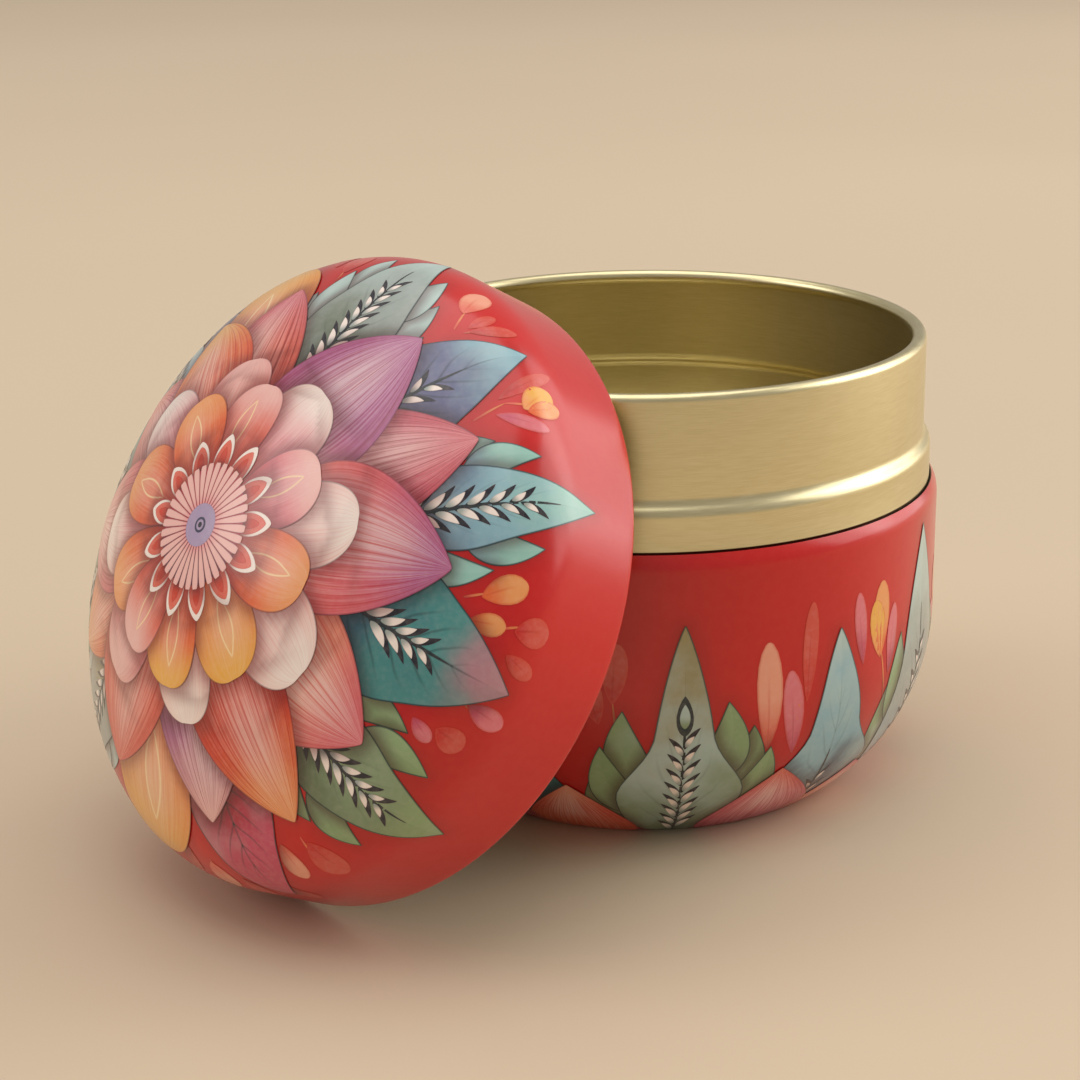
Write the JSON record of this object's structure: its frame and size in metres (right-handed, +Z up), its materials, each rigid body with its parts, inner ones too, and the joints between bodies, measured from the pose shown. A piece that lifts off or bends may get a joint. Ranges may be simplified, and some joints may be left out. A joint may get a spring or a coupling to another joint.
{
  "type": "tea caddy",
  "caption": "Round thin-tinplate tea caddy with a bowl-shaped body, a gold stepped neck with a rolled lip, and a domed slip lid leaning against the neck.",
  "frame": {"origin": "centre of the caddy's flat base, on the surface it stands on", "axes": "+Z up along the caddy's own axis; the lid leans against the neck on the -X side, with its axis in the XZ plane"},
  "size_m": [0.1257, 0.0844, 0.0804],
  "materials": {
    "printed_enamel": "satin",
    "gold_lacquer": "brushed satin"
  },
  "bodies": {
    "caddy": {"body_shell": "printed_enamel", "neck_collar": "gold_lacquer"},
    "lid": {"lid_shell": "printed_enamel"}
  },
  "joints": [
    {"name": "lid_lift", "type": "slide", "parent": "caddy", "child": "lid", "axis": [-0.878, 0, 0.4787], "range_m": [0, 0.1]}
  ]
}
